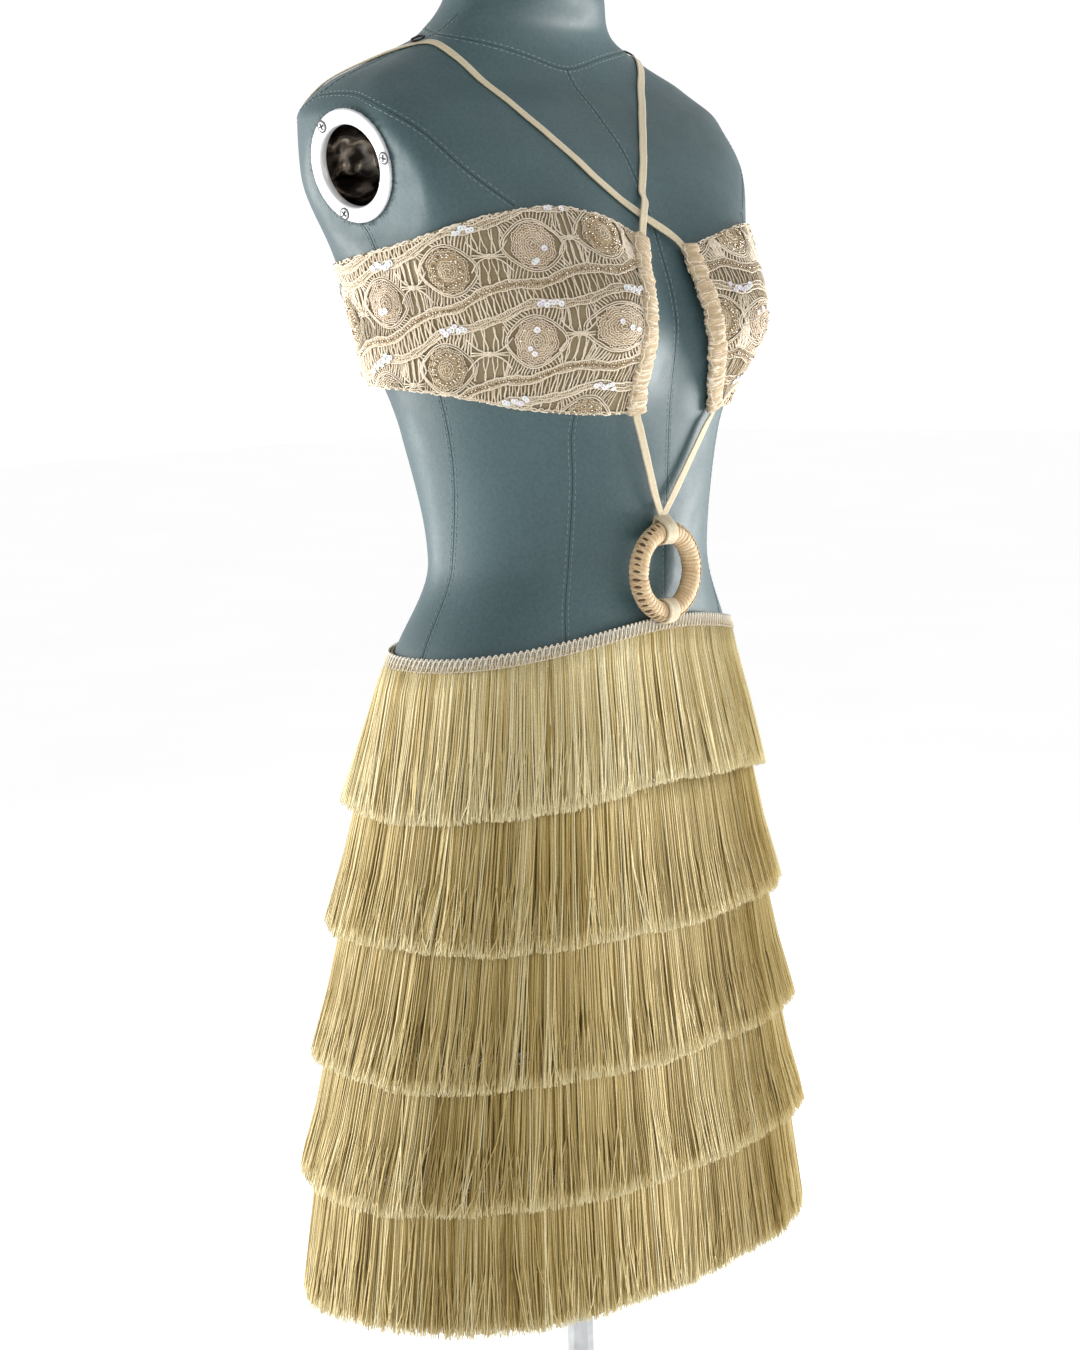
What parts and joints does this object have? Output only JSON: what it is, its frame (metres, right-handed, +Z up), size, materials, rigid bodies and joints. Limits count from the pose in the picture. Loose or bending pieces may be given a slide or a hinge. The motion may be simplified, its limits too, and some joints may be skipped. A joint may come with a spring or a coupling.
{
  "type": "crochet mini dress on a dress form",
  "caption": "Limbless dress form on a round stand wearing a crochet bandeau top with crossed straps, a wrapped hoop at the waist and a tiered fringe mini skirt.",
  "frame": {"origin": "on the floor, under the middle of the round stand base", "axes": "+Z up, the wearer faces -Y, the wearer's left is +X"},
  "size_m": [0.4834, 0.38, 1.54],
  "materials": {
    "form_skin": "matte grained",
    "plate_steel": "bright zinc",
    "stand_metal": "satin",
    "skirt_cloth": "knit",
    "fringe_yarn": "silky",
    "lining_cloth": "matte",
    "lace_yarn": "crochet",
    "strap_cloth": "matte",
    "dark_metal": "dark",
    "hoop_wrap": "wrapped yarn"
  },
  "bodies": {
    "root": {"arm_plate_left": "plate_steel", "arm_plate_right": "plate_steel", "bandeau_lace_left": "lace_yarn", "bandeau_lace_right": "lace_yarn", "bandeau_lining_left": "lining_cloth", "bandeau_lining_right": "lining_cloth", "casing_left": "lace_yarn", "casing_right": "lace_yarn", "form_body": "form_skin", "fringe_tier_1": "fringe_yarn", "fringe_tier_2": "fringe_yarn", "fringe_tier_3": "fringe_yarn", "fringe_tier_4": "fringe_yarn", "fringe_tier_5": "fringe_yarn", "hoop_loop_bottom": "strap_cloth", "hoop_loop_top": "strap_cloth", "hoop_ring": "hoop_wrap", "plate_screw_left_1": "plate_steel", "plate_screw_left_2": "plate_steel", "plate_screw_left_3": "plate_steel", "plate_screw_right_1": "plate_steel", "plate_screw_right_2": "plate_steel", "plate_screw_right_3": "plate_steel", "skirt_back": "skirt_cloth", "skirt_front": "skirt_cloth", "slider_left_strap": "dark_metal", "slider_right_strap": "dark_metal", "stand_base": "stand_metal", "stand_pole": "stand_metal", "strap_left_cup": "strap_cloth", "strap_right_cup": "strap_cloth"}
  },
  "joints": []
}
